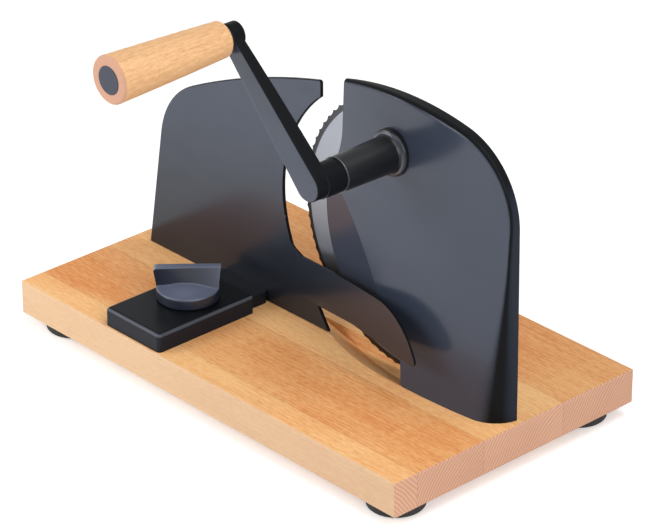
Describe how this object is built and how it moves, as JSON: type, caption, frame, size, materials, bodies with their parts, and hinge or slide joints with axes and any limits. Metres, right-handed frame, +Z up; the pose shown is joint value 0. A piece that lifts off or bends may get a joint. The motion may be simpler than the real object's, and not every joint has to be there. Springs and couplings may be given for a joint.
{
  "type": "hand cranked bread slicer",
  "caption": "Hand cranked bread slicer: round toothed blade behind a lacquered housing on a beech board, sliding stop plate with guide finger, thickness knob and turned wooden grip.",
  "frame": {"origin": "middle of the board, on the plane that the feet stand on", "axes": "+X along the board towards the blade, -Y towards the crank grip, +Z up"},
  "size_m": [0.36, 0.2789, 0.2785],
  "materials": {
    "board_beech": "oiled, fine straight grain",
    "grip_beech": "turned and oiled",
    "black_lacquer": "satin black stoving lacquer",
    "blade_steel": "ground stainless steel",
    "screw_steel": "bright zinc plated steel",
    "bearing_bronze": "sintered bronze",
    "gear_nylon": "moulded natural nylon",
    "black_plastic": "fine textured black plastic",
    "black_rubber": "soft black rubber"
  },
  "bodies": {
    "base": {"base_board": "board_beech", "rubber_feet": "black_rubber", "foot_screws": "screw_steel", "blade_housing": "black_lacquer", "housing_screws": "screw_steel", "bearing_sleeve": "black_lacquer", "front_bush": "bearing_bronze", "rear_bush": "bearing_bronze", "blade_axle": "screw_steel", "blade_washer": "screw_steel", "blade_retaining_screw": "screw_steel", "adjuster_housing": "black_plastic", "adjuster_screws": "screw_steel", "knob_washer": "gear_nylon"},
    "crank": {"crank_shaft": "screw_steel", "crank_pinion": "gear_nylon", "crank_washer": "blade_steel", "crank_arm": "black_lacquer", "hub_set_screw": "screw_steel", "handle_pin": "screw_steel", "grip_spacer": "black_plastic", "grip_washer": "screw_steel", "grip_screw": "screw_steel"},
    "grip": {"wooden_grip": "grip_beech", "grip_end_plug": "black_plastic"},
    "blade": {"circular_blade": "blade_steel", "blade_gear": "gear_nylon", "blade_bush": "bearing_bronze", "blade_screws": "screw_steel"},
    "stop": {"stop_plate": "black_lacquer", "rack_slide": "black_plastic", "plate_screws": "screw_steel"},
    "knob": {"thickness_knob": "black_plastic", "knob_pinion": "gear_nylon", "knob_screw": "screw_steel"}
  },
  "joints": [
    {"name": "crank_turn", "type": "hinge", "parent": "base", "child": "crank", "pos_m": [0.0731, 0, 0.18633], "axis": [0, -1, 0], "continuous": true},
    {"name": "grip_spin", "type": "hinge", "parent": "crank", "child": "grip", "pos_m": [0.00317, 0, 0.26305], "axis": [0, -1, 0], "continuous": true},
    {"name": "blade_spin", "type": "hinge", "parent": "base", "child": "blade", "pos_m": [0.076, 0, 0.1234], "axis": [0, -1, 0], "continuous": true},
    {"name": "thickness_slide", "type": "slide", "parent": "base", "child": "stop", "axis": [0, -1, 0], "range_m": [-0.0045, 0.0145]},
    {"name": "knob_turn", "type": "hinge", "parent": "base", "child": "knob", "pos_m": [-0.0684, -0.0544, 0], "axis": [0, 0, 1], "range_deg": [-33, 104]}
  ],
  "couplings": [
    {"joint": "blade_spin", "follows": "crank_turn", "ratio": -0.5},
    {"joint": "knob_turn", "follows": "thickness_slide", "rad_per_m": 125}
  ]
}
